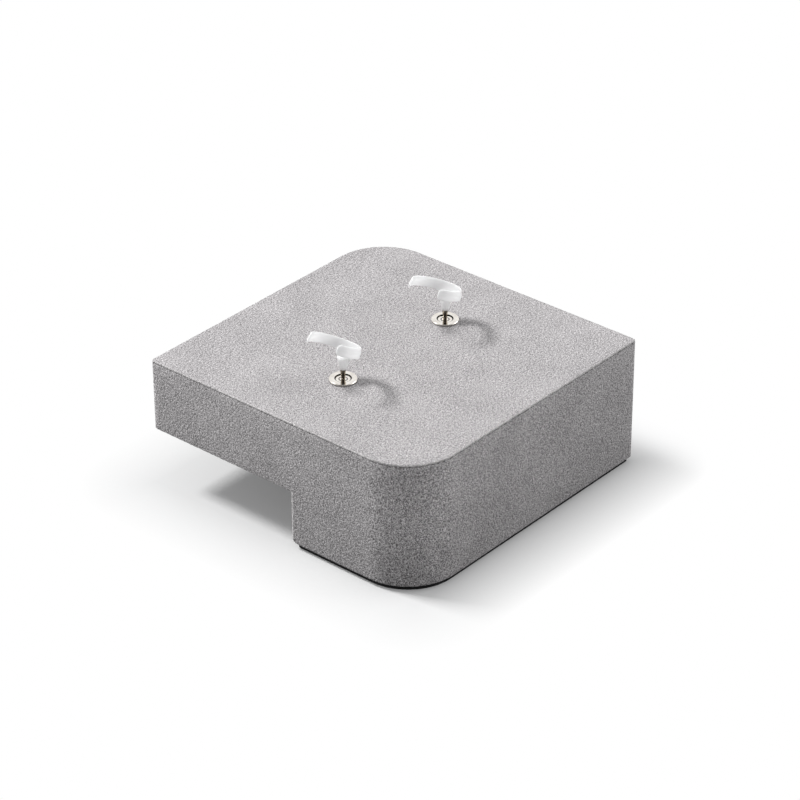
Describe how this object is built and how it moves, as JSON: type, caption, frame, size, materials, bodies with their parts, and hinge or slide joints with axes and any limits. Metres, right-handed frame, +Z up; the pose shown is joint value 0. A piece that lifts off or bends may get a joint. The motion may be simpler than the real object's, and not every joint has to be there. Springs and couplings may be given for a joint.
{
  "type": "jewelry display riser",
  "caption": "Suede-covered block with a cantilevered top and round corners, carrying plug-in spring clips on steel pins that turn and lift out.",
  "frame": {"origin": "middle of the block's outline, on the surface that it stands on", "axes": "+Z up; +Y towards the overhang, away from the leg; +X towards the second holder and the back of both clips"},
  "size_m": [0.1, 0.1, 0.0584],
  "materials": {
    "suede": "warm grey microfibre suede, short speckled nap",
    "board": "raw medium-density fibreboard",
    "dowel": "raw beech",
    "base_pad": "black anti-slip foam, matt",
    "socket": "turned",
    "foot_disc": "polished nickel-plated steel",
    "pin": "polished steel",
    "clip": "frosted clear plastic, smooth"
  },
  "bodies": {
    "block": {"top_board": "board", "leg_board": "board", "dowels": "dowel", "top_suede": "suede", "front_suede": "suede", "rear_suede": "suede", "under_suede": "suede", "base_pad": "base_pad", "socket_1": "socket", "socket_2": "socket"},
    "foot_1": {"foot_disc_1": "foot_disc"},
    "holder_1": {"pin_1": "pin", "clip_1": "clip"},
    "foot_2": {"foot_disc_2": "foot_disc"},
    "holder_2": {"pin_2": "pin", "clip_2": "clip"}
  },
  "joints": [
    {"name": "holder_1_lift", "type": "slide", "parent": "block", "child": "foot_1", "axis": [0, 0, 1], "range_m": [0, 0.0095]},
    {"name": "holder_1_swivel", "type": "hinge", "parent": "foot_1", "child": "holder_1", "pos_m": [-0.0227, 0, 0.0418], "axis": [0, 0, 1], "continuous": true},
    {"name": "holder_2_lift", "type": "slide", "parent": "block", "child": "foot_2", "axis": [0, 0, 1], "range_m": [0, 0.0095]},
    {"name": "holder_2_swivel", "type": "hinge", "parent": "foot_2", "child": "holder_2", "pos_m": [0.0227, 0, 0.0418], "axis": [0, 0, 1], "continuous": true}
  ]
}
